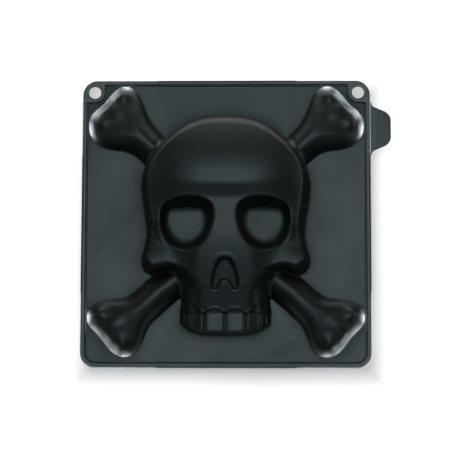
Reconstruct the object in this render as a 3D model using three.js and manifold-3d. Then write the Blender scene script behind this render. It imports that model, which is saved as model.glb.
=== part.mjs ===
// A silicone cake mould, lying upside down on its flange: a square sheet with a raised rim bead,
// two hanging eyelets and a pull tab, and a hollow relief of a skull over two crossed bones.
// The moulding is parted into its regions along the edges that show on it.
// Millimetres, +Z up, +Y towards the crown of the skull. The origin is on the surface that the mould
// lies on, under the middle of the whole part.

import * as THREE from 'three';
import { mergeVertices } from 'three/addons/utils/BufferGeometryUtils.js';
import Module from 'manifold-3d';

const wasm = await Module();
wasm.setup();

// Sheet
const PLATE_SIDE = 230;
const PLATE_CORNER = 12;
const SHEET = 2;
const WALL = 2;
const PART_GAP = 0.3;

// Rim bead and hanging eyelets
const RIM_WIDTH = 3.5;
const RIM_HEIGHT = 3;
const HOLE_RADIUS = 4.9;
const HOLE_INSET = 9.7;
const BOSS_RADIUS = 8.1;

// Pull tab on the right edge
const TAB_REACH = 16.3;
const TAB_ROOT = 45;
const TAB_END = 24;
const TAB_THICK = 2.2;
const TAB_MIDDLE = 76;
const TAB_FILLET = 3.6;
const TAB_ROUND = 5;

// Heights of the relief above the surface that the mould lies on
const CRANIUM_TOP = 46;
const FACE_TOP = 42;
const JAW_TOP = 27.6;
const BONE_TOP = 13;
const BONE_END_TOP = 9.8;
const EYE_FLOOR = 28;
const EYE_TOP = 40;

// Slopes and steps of the relief
const EYE_SLOPE = 6;
const NOSE_DEPTH = 3.6;
const TOOTH_STEP = 1.2;
const GROOVE_STEP = 2;
const GROOVE_WIDTH = 1.2;

// The outlines below are drawn for a sheet of this side, and grow with the sheet
const DRAWN_SIDE = 230;
const scale = PLATE_SIDE / DRAWN_SIDE;

// Left half of the skull's foot, from the crown down to the jaw
const skullHalf = [
  [0, 85], [-20.5, 83], [-36.5, 76.2], [-49, 65], [-60.5, 49.5], [-66, 37], [-66.3, 22], [-63.3, 1],
  [-62.6, -12], [-65.5, -25], [-66.8, -32], [-64, -39], [-58, -42.6], [-50.5, -43.4], [-43.5, -43.8],
  [-38, -45.4], [-34.8, -50], [-34, -57], [-35, -67], [-35.5, -75],
];
// The jaw's end: cut off square at the teeth, and run on past them to shape the arch of the jaw
const chinHalf = [[-35, -82.5], [-27, -88], [-13, -90.8], [0, -91.2]];
const archHalf = [[-35.5, -100], [-34, -118], [0, -122]];

// Left bones: each outline runs round the bone's end and into the skull, the shaft's ridge runs from the
// skull to the end, and the end has two knobs
const upperBone = {
  outline: [
    [-57.5, 73.5], [-64.5, 84], [-69.5, 98.5], [-75, 107.9], [-82.6, 110.9], [-90.8, 108.3],
    [-97.3, 100.1], [-103.4, 93.1], [-109.4, 86.4], [-110.9, 77.5], [-107.6, 66.5], [-99.5, 60.6],
    [-88.6, 58.3], [-77, 54.8], [-63, 45.5], [-46, 33], [-35, 42], [-40, 58],
  ],
  shaft: [[-44, 48], [-90, 89]],
  knobs: [[-82.4, 100.2], [-98.4, 78.4]],
};
const lowerBone = {
  outline: [
    [-62, -47.2], [-70, -54.5], [-79, -60.2], [-91.6, -62.2], [-103.4, -64.6], [-109.9, -71],
    [-110.6, -79.7], [-106.7, -86.5], [-100, -90.5], [-93.4, -99.3], [-87.3, -105.8], [-79, -108.2],
    [-71.5, -104.5], [-66.3, -95], [-61, -83], [-50, -72], [-37, -62], [-22, -50], [-22, -38], [-36, -31],
    [-50, -38],
  ],
  shaft: [[-30, -40], [-91, -84.5]],
  knobs: [[-98.4, -75.6], [-81.4, -96.8]],
};

// Rim of the left eye and left half of the rim of the nose
const eyeRim = [
  [-28, 14.2], [-18, 13], [-10.2, 7.4], [-8.9, -1], [-11, -11.5], [-17.8, -22], [-29.4, -26.4],
  [-42.2, -22.2], [-49.6, -10.5], [-50.3, 1.5], [-46, 9.9], [-38, 13.2],
];
const noseHalf = [
  [0, -31.3], [-5.3, -33.2], [-8.8, -37.5], [-10.8, -43.7], [-12.5, -53.5], [-11.2, -56.6], [-7.7, -57.6],
  [0, -57.8],
];
// Bump that rises from the nose's floor at the middle of its lower edge
const BUMP_PLACE = [0, -57.5];
const BUMP_FOOT = 5;
const BUMP_TOP = 3.4;
const BUMP_LENGTHEN = 1.55;

// Edges of the teeth from the middle outwards, and the height of each gum arc's control point
const toothEdges = [0, 16.2, 26.5, 33];
const gumLine = [-74.4, -74.8, -74.2, -76];
const gumCrest = [-66.8, -70.3, -72.7];
const TEETH_PAST = -130;

// Ends of the lines that the flange is parted on, at the notches in the bones' ends
const upperNotch = [101, 95.5];
const lowerNotch = [99.5, -90];

// Lines that part the skull: over the brow and under the nose
const BROW_LINE = 21;
const JAW_LINE = -62.5;

// The crown is level up to here, and falls away from it towards its end and its sides
const CROWN_START = 30;
const CROWN_FALL = 0.0052;
const CROWN_ARCH = 0.00004;
const CROWN_LEAST = 24;

// The step from the crown down to the face bends up and spreads out towards the temples
const BROW_STEP = 20.5;
const BROW_BEND = 0.0006;
const BROW_SPREAD = 7.5;
const BROW_WIDEN = 0.003;

// The face falls towards the gum from these lines, at the nose and at the cheeks
const MUZZLE_START = -4;
const CHEEK_START = -32;
const GUM_LEVEL = -74;
const DROP_POWER = 1.35;

// Stretches over which the skull's arch, fall and rounding change, across it and along it
const cheekStretch = [24, 52];
const archStretch = [-28, -8];
const templeStretch = [50, -10];
const jawNarrowing = [-38, -58];
const teethStretch = [-69, -80];

// Line down the middle of the skull that its surface closes on
const MIDDLE_TOP = 52;
const MIDDLE_FOOT = -90;
const MIDDLE_DRAW = 0.8;

// How far from its foot the skull's surface rounds over, at the crown, the face, the jaw and the teeth
const CRANIUM_ROUND = 12.5;
const FACE_ROUND = 11;
const JAW_ROUND = 24;
const TEETH_ROUND = 17.5;
const SKULL_POWER = 2.3;

// A bone's rounding, the ridge along its shaft, the knobs, and the shares of the shaft between which it
// falls to its end
const BONE_ROUND = 12.5;
const SHAFT_RISE = 3.2;
const SHAFT_SPREAD = 6.5;
const KNOB_RISE = 3;
const KNOB_SPREAD = 5.4;
const endFall = [0.45, 0.9];

// Rings of the lofted forms, as fractions of the way from the foot to the middle line
const skullRings = [0, 0.012, 0.04, 0.085, 0.15, 0.25, 0.42, 0.68, 1];
const boneRings = [0, 0.08, 0.2, 0.36, 0.55, 0.75, 0.93];
const SKULL_POINTS = 72;
const BONE_POINTS = 40;
const EYE_POINTS = 24;
const NOSE_POINTS = 24;
const CORNER_STEPS = 6;
const HOLE_STEPS = 24;
const FAR = 2 * PLATE_SIDE;
const CUT_PAST = 1;
const MERGE_WITHIN = 1e-4;

const halfSide = PLATE_SIDE / 2;
const point = (pair) => new THREE.Vector2(pair[0] * scale, pair[1] * scale);
const mirrorPoint = (p) => new THREE.Vector2(-p.x, p.y);
const mix = THREE.MathUtils.lerp;
const { clamp } = THREE.MathUtils;
const shareOf = (value, [start, end]) => clamp((value - start) / (end - start), 0, 1);
const easeBetween = (value, stretch) => THREE.MathUtils.smoothstep(shareOf(value, stretch), 0, 1);

// Solids from three.js geometry and back
function solidOf(geometry) {
  const bare = geometry.clone();
  bare.deleteAttribute('normal');
  bare.deleteAttribute('uv');
  const merged = mergeVertices(bare, MERGE_WITHIN);
  const vertProperties = new Float32Array(merged.attributes.position.array);
  const corners = [...merged.index.array];
  const starts = corners.map((_, k) => k).filter((k) => k % 3 === 0);
  const triangles = starts.map((k) => corners.slice(k, k + 3));
  const whole = triangles.filter((triangle) => new Set(triangle).size === 3);
  const triVerts = new Uint32Array(whole.flat());
  return new wasm.Manifold(new wasm.Mesh({ numProp: 3, vertProperties, triVerts }));
}

function geometryOf(solid) {
  const mesh = solid.getMesh();
  const geometry = new THREE.BufferGeometry();
  geometry.setAttribute('position', new THREE.BufferAttribute(new Float32Array(mesh.vertProperties), 3));
  geometry.setIndex(new THREE.BufferAttribute(new Uint32Array(mesh.triVerts), 1));
  return geometry;
}

// The same solid moved by a matrix, turned right side out again if the matrix mirrors it
function moved(solid, matrix) {
  const geometry = geometryOf(solid).applyMatrix4(matrix);
  const vertProperties = geometry.attributes.position.array;
  const triVerts = geometry.index.array;
  if (matrix.determinant() < 0) {
    triVerts.reverse();
  }
  return new wasm.Manifold(new wasm.Mesh({ numProp: 3, vertProperties, triVerts }));
}

const mirrorX = (solid) => moved(solid, new THREE.Matrix4().makeScale(-1, 1, 1));
const lowered = (solid, step) => moved(solid, new THREE.Matrix4().makeTranslation(0, 0, -step));

// Outlines
function smoothOutline(points, count) {
  const flat = points.map((p) => new THREE.Vector3(p.x, p.y, 0));
  const curve = new THREE.CatmullRomCurve3(flat, true, 'centripetal');
  const outline = curve.getSpacedPoints(count).slice(0, count).map((p) => new THREE.Vector2(p.x, p.y));
  return THREE.ShapeUtils.area(outline) < 0 ? outline.reverse() : outline;
}

function mirroredOutline(half, count) {
  const left = half.map(point);
  const right = left.slice(1, -1).reverse().map(mirrorPoint);
  const outline = smoothOutline([...left, ...right], count);
  return outline.map((p, k) => (k > count / 2 ? mirrorPoint(outline[count - k]) : p));
}

function offsetOutline(outline, distance) {
  const count = outline.length;
  return outline.map((p, k) => {
    const before = outline[(k + count - 1) % count];
    const after = outline[(k + 1) % count];
    const along = after.clone().sub(before).normalize();
    return new THREE.Vector2(p.x + along.y * distance, p.y - along.x * distance);
  });
}

function distanceToOutline(x, y, outline) {
  const place = new THREE.Vector3(x, y, 0);
  const nearest = new THREE.Vector3();
  const edge = new THREE.Line3();
  let least = Infinity;
  outline.forEach((p, k) => {
    const next = outline[(k + 1) % outline.length];
    edge.start.set(p.x, p.y, 0);
    edge.end.set(next.x, next.y, 0);
    edge.closestPointToPoint(place, true, nearest);
    least = Math.min(least, nearest.distanceTo(place));
  });
  return least;
}

function roundedSquare(half, corner) {
  const shape = new THREE.Shape();
  const straight = half - corner;
  shape.absarc(straight, straight, corner, 0, Math.PI / 2);
  shape.absarc(-straight, straight, corner, Math.PI / 2, Math.PI);
  shape.absarc(-straight, -straight, corner, Math.PI, Math.PI * 1.5);
  shape.absarc(straight, -straight, corner, Math.PI * 1.5, Math.PI * 2);
  shape.closePath();
  return shape;
}

// Solids
function prism(shape, low, high) {
  const geometry = new THREE.ExtrudeGeometry(shape, {
    depth: high - low, bevelEnabled: false, curveSegments: CORNER_STEPS,
  });
  return solidOf(geometry.translate(0, 0, low));
}

const outlinePrism = (outline, low, high) => prism(new THREE.Shape(outline), low, high);

function disc(x, y, radius, low, high) {
  const geometry = new THREE.CylinderGeometry(radius, radius, high - low, HOLE_STEPS);
  geometry.rotateX(Math.PI / 2).translate(x, y, (low + high) / 2);
  return solidOf(geometry);
}

function slab(lowY, highY) {
  const geometry = new THREE.BoxGeometry(FAR, highY - lowY, FAR);
  return solidOf(geometry.translate(0, (lowY + highY) / 2, 0));
}

// A solid through rings of equal length, lowest first, capped at the top unless its last ring closes on
// itself
function loft(rings, closed = false) {
  const count = rings[0].length;
  const positions = rings.flat().flatMap((p) => [p.x, p.y, p.z]);
  const index = [];
  for (let level = 0; level + 1 < rings.length; level += 1) {
    for (let k = 0; k < count; k += 1) {
      const a = level * count + k;
      const b = level * count + (k + 1) % count;
      index.push(a, b, a + count, b, b + count, a + count);
    }
  }
  const flat = (ring) => ring.map((p) => new THREE.Vector2(p.x, p.y));
  const capOf = (ring) => THREE.ShapeUtils.triangulateShape(flat(ring), []);
  const topStart = (rings.length - 1) * count;
  capOf(rings[0]).forEach(([a, b, c]) => index.push(a, c, b));
  if (!closed) {
    capOf(rings.at(-1)).forEach(([a, b, c]) => index.push(topStart + a, topStart + b, topStart + c));
  }
  const geometry = new THREE.BufferGeometry();
  geometry.setAttribute('position', new THREE.Float32BufferAttribute(positions, 3));
  geometry.setIndex(index);
  return solidOf(geometry);
}

// A mound over an outline: its rings close in on a middle line, and its height follows the way in from
// the foot
function mound(outline, towards, base, fractions, heightAt) {
  const rings = fractions.map((fraction) => outline.map((p) => {
    const middle = towards(p);
    const x = mix(p.x, middle.x, fraction);
    const y = mix(p.y, middle.y, fraction);
    const inward = fraction === 0 ? 0 : distanceToOutline(x, y, outline);
    return new THREE.Vector3(x, y, heightAt(x, y, inward, base));
  }));
  return loft(rings, fractions.at(-1) === 1);
}

// Rounded rise from 0 at the foot to 1 at the given way in
function rise(inward, round, power) {
  const left = 1 - Math.min(inward / round, 1);
  return (1 - left ** power) ** (1 / power);
}

// A funnel with sloping walls: its floor is the rim moved in by the slope
function funnel(rim, slope, floor, top, high, grow) {
  const steepness = slope / (top - floor);
  const ringAt = (z) => offsetOutline(rim, grow + (z - top) * steepness)
    .map((p) => new THREE.Vector3(p.x, p.y, z));
  return loft([ringAt(floor - grow), ringAt(high)]);
}

// Skull forms: outer surface, cavity, and the outer surface grown by the parting gap
const skullFoot = mirroredOutline([...skullHalf, ...chinHalf], SKULL_POINTS);
const skullArch = mirroredOutline([...skullHalf, ...archHalf], SKULL_POINTS);

function skullMiddle(p) {
  const y = clamp(p.y * MIDDLE_DRAW, MIDDLE_FOOT * scale, MIDDLE_TOP * scale);
  return new THREE.Vector2(0, y);
}

function skullHeight(grow) {
  return (x, y, inward, base) => {
    const across = Math.abs(x) / scale;
    const along = y / scale;
    const brow = BROW_STEP + BROW_BEND * across ** 2;
    const spread = BROW_SPREAD + BROW_WIDEN * across ** 2;
    const crown = CRANIUM_TOP - CROWN_FALL * Math.max(along - CROWN_START, 0) ** 2;
    const level = mix(crown, FACE_TOP, easeBetween(along, [brow + spread, brow - spread]));
    const arched = level - CROWN_ARCH * across ** 3 * easeBetween(along, archStretch);
    const dropStart = mix(MUZZLE_START, CHEEK_START, easeBetween(across, cheekStretch));
    const dropped = shareOf(along, [dropStart, GUM_LEVEL]) ** DROP_POWER;
    const top = mix(Math.max(arched, CROWN_LEAST), JAW_TOP, dropped) + grow;
    const upperRound = mix(CRANIUM_ROUND, FACE_ROUND, easeBetween(along, templeStretch));
    const lowerRound = mix(JAW_ROUND, TEETH_ROUND, easeBetween(along, teethStretch));
    const round = mix(upperRound, lowerRound, easeBetween(along, jawNarrowing)) * scale + grow;
    return base + (top - base) * rise(inward, round, SKULL_POWER);
  };
}

function skullForm(grow, base) {
  const arch = mound(offsetOutline(skullArch, grow), skullMiddle, base, skullRings, skullHeight(grow));
  return arch.intersect(outlinePrism(offsetOutline(skullFoot, grow), base - CUT_PAST, FAR));
}

const skullOuter = skullForm(0, SHEET);
const skullCavity = skullForm(-WALL, -CUT_PAST);
const skullGrown = skullForm(2 * PART_GAP, SHEET - CUT_PAST);

// Bone forms: a ridge along the shaft falls towards the bone's end, with a knob at each side of the end
function shaftLine(bone) {
  const [start, end] = bone.shaft.map(point);
  return new THREE.Line3(new THREE.Vector3(start.x, start.y, 0), new THREE.Vector3(end.x, end.y, 0));
}

function boneHeight(bone, grow) {
  const shaft = shaftLine(bone);
  const knobs = bone.knobs.map(point);
  const hill = (away, spread) => Math.exp(-((away / (spread * scale)) ** 2));
  return (x, y, inward, base) => {
    const place = new THREE.Vector3(x, y, 0);
    const along = shaft.closestPointToPointParameter(place, true);
    const aside = shaft.at(along, new THREE.Vector3()).distanceTo(place);
    const level = mix(BONE_TOP, BONE_END_TOP, easeBetween(along, endFall));
    const ridge = level + SHAFT_RISE * hill(aside, SHAFT_SPREAD);
    const top = knobs.reduce((sum, knob) => {
      const away = Math.hypot(x - knob.x, y - knob.y);
      return sum + KNOB_RISE * hill(away, KNOB_SPREAD);
    }, ridge + grow);
    const left = 1 - Math.min(inward / (BONE_ROUND * scale + grow), 1);
    return base + (top - base) * (1 - left ** 2);
  };
}

function boneOutline(bone, grow) {
  return offsetOutline(smoothOutline(bone.outline.map(point), BONE_POINTS), grow);
}

function boneForm(bone, grow, base) {
  const shaft = shaftLine(bone);
  const onShaft = (p) => {
    const place = new THREE.Vector3(p.x, p.y, 0);
    return shaft.closestPointToPoint(place, true, new THREE.Vector3());
  };
  return mound(boneOutline(bone, grow), onShaft, base, boneRings, boneHeight(bone, grow));
}

const boneCavity = (bone) => boneForm(bone, -WALL, -CUT_PAST);
const boneCavities = [upperBone, lowerBone].map(boneCavity).flatMap((cavity) => [cavity, mirrorX(cavity)]);
const boneShell = (bone) => boneForm(bone, 0, SHEET).subtract(boneCavity(bone)).subtract(skullGrown);

// Eye cups: the face dips down as funnels with flat floors
const leftEyeRim = smoothOutline(eyeRim.map(point), EYE_POINTS);
const eyeFunnel = (grow) => funnel(leftEyeRim, EYE_SLOPE, EYE_FLOOR, EYE_TOP, CRANIUM_TOP, grow);
const eyeCup = () => eyeFunnel(WALL).intersect(skullOuter).subtract(eyeFunnel(0));

// Nose cup: its floor follows the face at an even depth, with a bump at the middle of its lower edge
const noseRim = mirroredOutline(noseHalf, NOSE_POINTS);
const noseColumn = (grow) => outlinePrism(offsetOutline(noseRim, grow), SHEET, FAR);

function noseBump() {
  const high = CRANIUM_TOP - JAW_TOP;
  const geometry = new THREE.CylinderGeometry(BUMP_TOP * scale, BUMP_FOOT * scale, high, HOLE_STEPS);
  const place = point(BUMP_PLACE);
  geometry.rotateX(Math.PI / 2).scale(1, BUMP_LENGTHEN, 1).translate(place.x, place.y, JAW_TOP + high / 2);
  return solidOf(geometry);
}

function noseCup() {
  const hollow = noseColumn(0).subtract(noseBump()).subtract(lowered(skullOuter, NOSE_DEPTH));
  return noseColumn(WALL)
    .intersect(skullOuter)
    .subtract(hollow)
    .subtract(lowered(skullOuter, NOSE_DEPTH + WALL));
}

// Teeth: the space over them, stepped down from the gum, and the grooves between them
function toothShape() {
  const shape = new THREE.Shape();
  const last = toothEdges.length - 1;
  const along = (k, side) => side * toothEdges[k] * scale;
  shape.moveTo(along(last, -1), TEETH_PAST * scale);
  for (let k = last; k > 0; k -= 1) {
    const middle = (toothEdges[k] + toothEdges[k - 1]) / 2 * scale;
    shape.lineTo(along(k, -1), gumLine[k] * scale);
    shape.quadraticCurveTo(-middle, gumCrest[k - 1] * scale, along(k - 1, -1), gumLine[k - 1] * scale);
  }
  for (let k = 1; k <= last; k += 1) {
    const middle = (toothEdges[k] + toothEdges[k - 1]) / 2 * scale;
    shape.quadraticCurveTo(middle, gumCrest[k - 1] * scale, along(k, 1), gumLine[k] * scale);
  }
  shape.lineTo(along(last, 1), TEETH_PAST * scale);
  return shape;
}

function grooveAt(x, gum) {
  const long = (gum - TEETH_PAST) * scale;
  const strip = new THREE.BoxGeometry(GROOVE_WIDTH, long, FAR);
  return solidOf(strip.translate(x * scale, TEETH_PAST * scale + long / 2, 0));
}

function teethSpace() {
  let space = prism(toothShape(), SHEET, FAR).subtract(lowered(skullOuter, TOOTH_STEP));
  const grooveFloor = lowered(skullOuter, GROOVE_STEP);
  toothEdges.slice(0, -1).forEach((edge, k) => {
    const sides = edge === 0 ? [0] : [-edge, edge];
    sides.forEach((x) => {
      space = space.add(grooveAt(x, gumLine[k]).subtract(grooveFloor));
    });
  });
  return space;
}

// Skull shells
function hollowed(cavity) {
  return boneCavities.reduce((shell, bone) => shell.subtract(bone), skullOuter.subtract(cavity));
}

const halfGap = PART_GAP / 2;
const eyeOpening = eyeFunnel(WALL + PART_GAP);
const openShell = hollowed(skullCavity)
  .subtract(eyeOpening)
  .subtract(mirrorX(eyeOpening))
  .subtract(noseColumn(WALL + PART_GAP));
const craniumShell = openShell.intersect(slab(BROW_LINE * scale + halfGap, FAR));
const faceShell = openShell.intersect(slab(JAW_LINE * scale + halfGap, BROW_LINE * scale - halfGap));
const jawShell = hollowed(lowered(skullCavity, TOOTH_STEP))
  .intersect(slab(-FAR / 2, JAW_LINE * scale - halfGap))
  .subtract(teethSpace());

// Flange: the sheet inside the rim bead, open under the relief and parted at the ends of the bones
const insideRim = RIM_WIDTH + PART_GAP;
const holeReach = halfSide - HOLE_INSET;

// The upper right corner, bounded by lines square to the rim and by a quarter circle round the hanging hole
function eyeletBlock(grow, low, high) {
  const radius = BOSS_RADIUS + grow;
  const shape = new THREE.Shape();
  shape.moveTo(halfSide, holeReach - radius);
  shape.lineTo(holeReach, holeReach - radius);
  shape.absarc(holeReach, holeReach, radius, Math.PI * 1.5, Math.PI, true);
  shape.lineTo(holeReach - radius, halfSide);
  shape.lineTo(halfSide, halfSide);
  shape.closePath();
  return prism(shape, low, high);
}

function flangeSheet() {
  let sheet = prism(roundedSquare(halfSide - insideRim, PLATE_CORNER - insideRim), 0, SHEET);
  sheet = sheet.subtract(outlinePrism(offsetOutline(skullFoot, -WALL), -CUT_PAST, SHEET + CUT_PAST));
  [upperBone, lowerBone].forEach((bone) => {
    const mouth = outlinePrism(boneOutline(bone, -WALL), -CUT_PAST, SHEET + CUT_PAST);
    sheet = sheet.subtract(mouth).subtract(mirrorX(mouth));
  });
  const boss = eyeletBlock(PART_GAP, -CUT_PAST, SHEET + CUT_PAST);
  return sheet.subtract(boss).subtract(mirrorX(boss));
}

// Four flange panels, each a wedge of the sheet between two parting lines that run out from its middle
function panelCorners() {
  const upper = point(upperNotch);
  const lower = point(lowerNotch);
  return [
    { side: 'top', ends: [upper, mirrorPoint(upper)], out: new THREE.Vector2(0, 1) },
    { side: 'right', ends: [lower, upper], out: new THREE.Vector2(1, 0) },
    { side: 'bottom', ends: [mirrorPoint(lower), lower], out: new THREE.Vector2(0, -1) },
    { side: 'left', ends: [mirrorPoint(upper), mirrorPoint(lower)], out: new THREE.Vector2(-1, 0) },
  ];
}

function flangePanel(sheet, { ends, out }) {
  const corners = ends.map((p) => new THREE.Vector2(Math.sign(p.x) * FAR, Math.sign(p.y) * FAR));
  const middle = new THREE.Vector2(0, 0);
  const wedge = [middle, ends[0], corners[0], corners[1], ends[1]]
    .map((p) => p.clone().addScaledVector(out, PART_GAP));
  return outlinePrism(wedge, -CUT_PAST, SHEET + CUT_PAST).intersect(sheet);
}

// Rim bead round the sheet, and the eyelet bosses in its upper corners
function rimBead() {
  const outer = roundedSquare(halfSide, PLATE_CORNER);
  outer.holes.push(roundedSquare(halfSide - RIM_WIDTH, PLATE_CORNER - RIM_WIDTH));
  return prism(outer, 0, RIM_HEIGHT);
}

function hangingEyelet() {
  const corner = roundedSquare(halfSide - insideRim, PLATE_CORNER - insideRim);
  const inside = prism(corner, -CUT_PAST, RIM_HEIGHT + CUT_PAST);
  return eyeletBlock(0, 0, RIM_HEIGHT)
    .intersect(inside)
    .subtract(disc(holeReach, holeReach, HOLE_RADIUS, -CUT_PAST, RIM_HEIGHT + CUT_PAST));
}

// Pull tab: its sides draw in from the root to the tip, with hollow fillets at the root and round corners
// at the tip
function tabOutline(rootX, tipX) {
  const rootCorner = new THREE.Vector2(rootX, TAB_ROOT / 2 - TAB_FILLET);
  const tipCorner = new THREE.Vector2(tipX, TAB_END / 2);
  const along = tipCorner.clone().sub(rootCorner).normalize();
  const filletEnd = rootCorner.clone().addScaledVector(along, TAB_FILLET);
  const roundStart = tipCorner.clone().addScaledVector(along, -TAB_ROUND);
  const upper = new THREE.Path();
  upper.moveTo(rootX, TAB_ROOT / 2);
  upper.quadraticCurveTo(rootCorner.x, rootCorner.y, filletEnd.x, filletEnd.y);
  upper.lineTo(roundStart.x, roundStart.y);
  upper.quadraticCurveTo(tipCorner.x, tipCorner.y, tipX, tipCorner.y - TAB_ROUND);
  const points = upper.getPoints(CORNER_STEPS);
  const lower = points.map((p) => new THREE.Vector2(p.x, -p.y)).reverse();
  return [...points, ...lower];
}

// The root's edge is round about the line that the tab bends on, so that it turns clear of the rim
function pullTab() {
  const radius = TAB_THICK / 2;
  const middle = RIM_HEIGHT / 2;
  const rootX = halfSide + PART_GAP;
  const plan = tabOutline(rootX, halfSide + TAB_REACH).map((p) => new THREE.Vector2(p.x, p.y + TAB_MIDDLE));
  const section = new THREE.Shape();
  section.absarc(rootX + radius, middle, radius, Math.PI / 2, Math.PI * 1.5);
  section.lineTo(FAR, middle - radius);
  section.lineTo(FAR, middle + radius);
  section.closePath();
  const bar = new THREE.ExtrudeGeometry(section, {
    depth: FAR, bevelEnabled: false, curveSegments: CORNER_STEPS,
  });
  bar.rotateX(Math.PI / 2).translate(0, FAR / 2, 0);
  return outlinePrism(plan, -CUT_PAST, RIM_HEIGHT + CUT_PAST).intersect(solidOf(bar));
}

// Satin black silicone
const silicone = () => new THREE.MeshStandardMaterial({ color: 0x1c1f20, roughness: 0.45, metalness: 0 });

const mould = new THREE.Group();
mould.position.x = -TAB_REACH / 2;

function addPiece(name, solid) {
  const piece = new THREE.Mesh(geometryOf(solid), silicone());
  piece.name = name;
  mould.add(piece);
}

const sheet = flangeSheet();
panelCorners().forEach((panel) => addPiece(`flange_${panel.side}`, flangePanel(sheet, panel)));
addPiece('rim_bead', rimBead());
const rightEyelet = hangingEyelet();
addPiece('hanging_eyelet_left', mirrorX(rightEyelet));
addPiece('hanging_eyelet_right', rightEyelet);
addPiece('pull_tab', pullTab());
addPiece('cranium_shell', craniumShell);
addPiece('face_shell', faceShell);
addPiece('jaw_shell', jawShell);
const leftEye = eyeCup();
addPiece('eye_cup_left', leftEye);
addPiece('eye_cup_right', mirrorX(leftEye));
addPiece('nose_cup', noseCup());
const bones = { upper: boneShell(upperBone), lower: boneShell(lowerBone) };
Object.entries(bones).forEach(([level, shell]) => {
  addPiece(`${level}_bone_left`, shell);
  addPiece(`${level}_bone_right`, mirrorX(shell));
});

export default mould;
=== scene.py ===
"""Looks of the skull cake mould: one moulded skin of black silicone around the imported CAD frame."""

import math

import bmesh
import bpy
import numpy as np
from mathutils import Matrix, Vector


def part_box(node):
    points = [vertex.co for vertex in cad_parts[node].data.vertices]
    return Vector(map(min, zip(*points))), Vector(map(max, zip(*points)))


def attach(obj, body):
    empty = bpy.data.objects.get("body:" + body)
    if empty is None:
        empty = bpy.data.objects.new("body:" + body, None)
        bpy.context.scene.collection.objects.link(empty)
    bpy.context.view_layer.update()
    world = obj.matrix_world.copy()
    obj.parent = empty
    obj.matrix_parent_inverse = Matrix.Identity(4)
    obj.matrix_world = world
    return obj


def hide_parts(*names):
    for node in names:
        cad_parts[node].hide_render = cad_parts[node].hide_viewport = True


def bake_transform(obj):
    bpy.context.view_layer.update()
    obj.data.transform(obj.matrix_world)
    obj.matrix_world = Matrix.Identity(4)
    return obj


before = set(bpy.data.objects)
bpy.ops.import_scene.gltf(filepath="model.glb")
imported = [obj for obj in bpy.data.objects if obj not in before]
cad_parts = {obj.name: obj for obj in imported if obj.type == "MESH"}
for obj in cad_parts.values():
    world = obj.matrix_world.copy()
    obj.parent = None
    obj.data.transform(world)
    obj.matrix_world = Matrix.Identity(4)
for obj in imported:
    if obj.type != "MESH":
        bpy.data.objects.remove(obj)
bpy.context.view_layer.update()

# Sizes in millimetres, measured from the middle of the sheet and from the surface that it lies on
MM = 0.001
rim_low, rim_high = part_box("rim_bead")
MIDDLE_X = (rim_low.x + rim_high.x) / 2
MIDDLE_Y = (rim_low.y + rim_high.y) / 2
HALF_SIDE = (rim_high.x - rim_low.x) / 2 / MM
RIM_TOP = rim_high.z / MM
PLATE_CORNER = 12.0
SHEET = 2.0
WALL = 2.0
RIM_WIDTH = 3.5
RIM_STEPS = 12
HOLE_RADIUS = 4.9
HOLE_STEPS = 40
HOLE_INSET = 9.7
BOSS_RADIUS = 8.1
BOSS_FILLET = 1.0
GROOVE = 0.6
HOLE_AT = HALF_SIDE - HOLE_INSET

# Heights, roundings and zones of the skull. A pair says where a change starts and where it ends
CRANIUM_TOP = 46.0
FACE_TOP = 42.0
JAW_TOP = 27.6
CHIN_TOP = 27.4
CROWN_START = 34.0
CROWN_FALL = 0.0061
CROWN_ARCH = 0.00005
CROWN_ARCH_ZONE = (-42.0, 8.0)
CROWN_LEAST = 24.0
BROW_LINE = 20.5
BROW_BEND = 0.0006
BROW_SPREAD = 9.5
BROW_WIDEN = 0.003
CHEEK_DROP = 9.0
CHEEK_DROP_DOWN = (6.0, -26.0)
CHEEK_DROP_OUT = (15.0, 44.0)
FACE_FALL_MIDDLE = -6.0
FACE_FALL_SIDE = -38.0
FACE_FALL_OUT = (22.0, 50.0)
FACE_FALL_POWER = 1.5
CHIN_LEVEL = -92.0
CRANIUM_ROUND = 7.0
CROWN_ROUND = 10.5
FACE_ROUND = 7.4
CHEEK_ROUND = 8.0
JAW_ROUND = 13.0
TEETH_ROUND = 10.0
FACE_ROUND_ZONE = (50.0, 0.0)
CROWN_ROUND_ZONE = (40.0, 74.0)
CHEEK_ROUND_ZONE = (-10.0, -32.0)
TEETH_ROUND_ZONE = (-69.0, -80.0)
JAW_ROUND_ZONE = (-34.0, -60.0)
SKULL_POWER = 2.0
JAW_SIDE_START = 12.0
JAW_SIDE_FALL = 0.017
JAW_SIDE_ZONE = (-42.0, -62.0)
NOTCH = (46.0, -37.0)
NOTCH_ROUND = 5.0
NOTCH_REACH = (17.0, 6.0)

# The sheet, and fillets between its surfaces
FOOT_FILLET = 0.8
HOLLOW_FILLET = 0.6
UNDERSIDE_FILLET = 0.5
GROOVE_FILLET = 0.6
SHEET_LIFT = 0.8
LIFT_REACH = 7.0

# The bones, whose pairs are shares of the way along, apart from the bumps' distance from the outline
SHAFT_TOP = 16.0
BONE_END_TOP = 12.0
SHAFT_FALL = (0.4, 1.0)
SHAFT_ROUND = 13.0
SHAFT_POWER = 1.6
BONE_FILLET = 6.0
BONE_FOOT_RISE = 7.8
BONE_FOOT_REACH = 7.4
BONE_RIDGE_RISE = 2.7
UPPER_END_WIDEN = 1.2
LOWER_END_WIDEN = 0.0
BONE_END_SLOPE = 0.12
BONE_RIDGE_SPREAD = 5.2
BONE_RIDGE_START = (0.4, 0.75)
KNOB_RISE = 2.3
KNOB_SPREAD = 4.2
BUMP_START = (0.5, 8.0)
BONE_END_START = (0.66, 1.0)

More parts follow.
